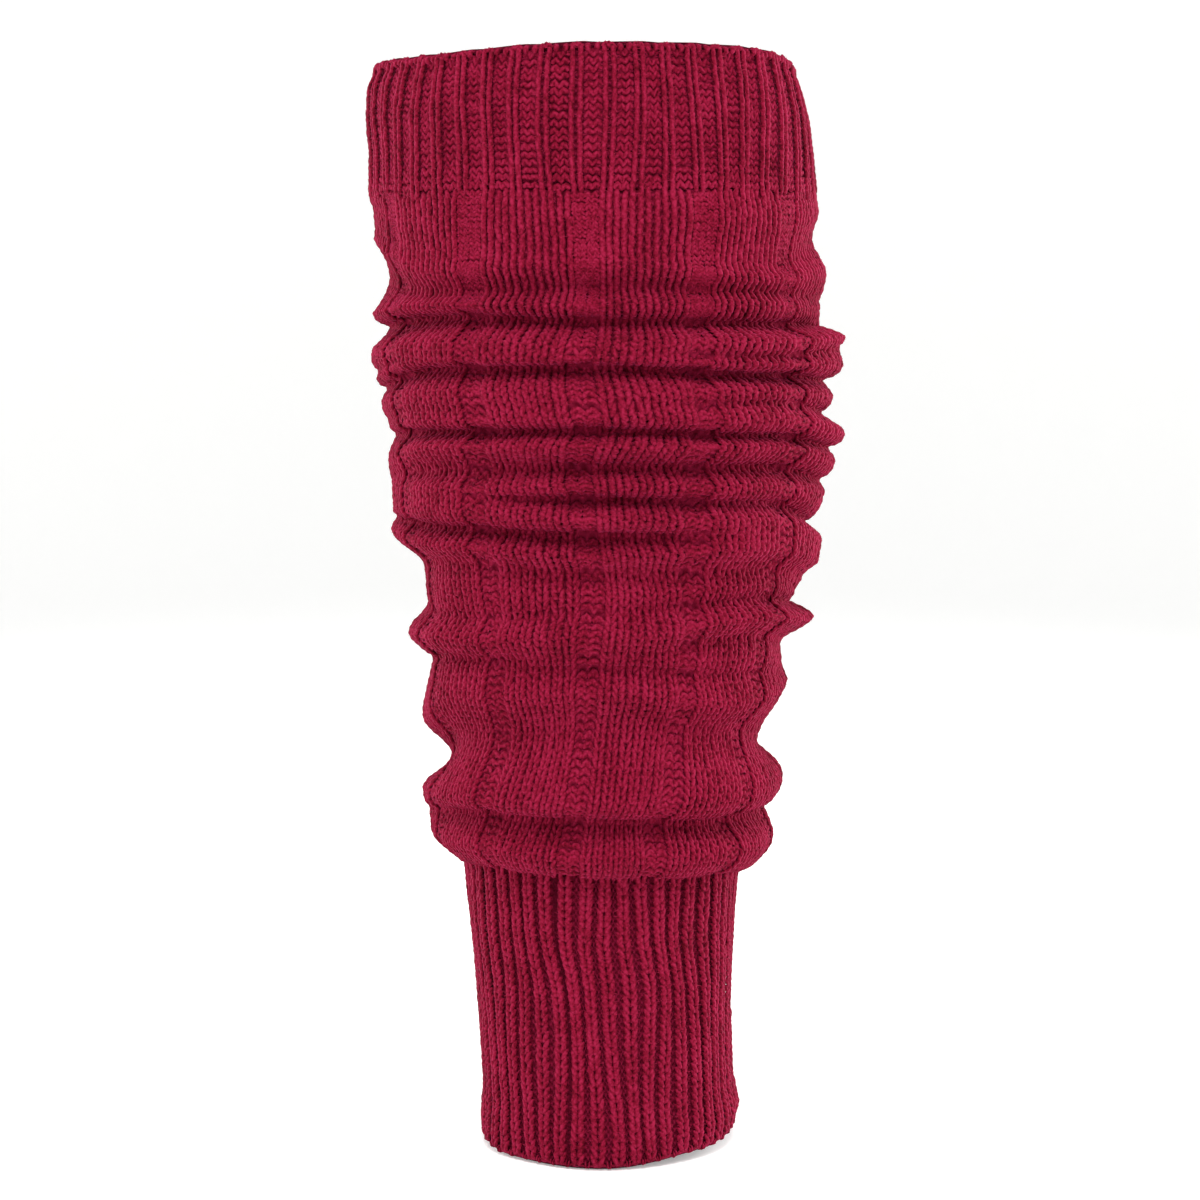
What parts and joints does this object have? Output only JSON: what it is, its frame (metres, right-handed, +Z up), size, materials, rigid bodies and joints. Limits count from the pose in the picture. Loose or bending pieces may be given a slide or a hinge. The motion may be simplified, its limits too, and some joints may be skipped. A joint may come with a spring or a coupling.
{
  "type": "leg warmer",
  "caption": "Slouched knitted leg warmer in its worn form: an open tube with a wide ribbed top, a leg gathered into uneven rolls and a long narrow ribbed ankle.",
  "frame": {"origin": "on the leg axis at mid height of the top rib, where the calf holds the tube up", "axes": "+Z up the leg, -Y the front that the picture shows, +X the picture's right"},
  "size_m": [0.1433, 0.1378, 0.3233],
  "materials": {
    "top_rib_yarn": "soft chunky crimson yarn, one by one rib",
    "leg_yarn": "soft chunky crimson yarn, panels of knit between purl channels",
    "ankle_rib_yarn": "soft chunky crimson yarn, tight one by one rib"
  },
  "bodies": {
    "root": {"top_rib": "top_rib_yarn", "slouched_leg": "leg_yarn", "ankle_rib": "ankle_rib_yarn"}
  },
  "joints": []
}
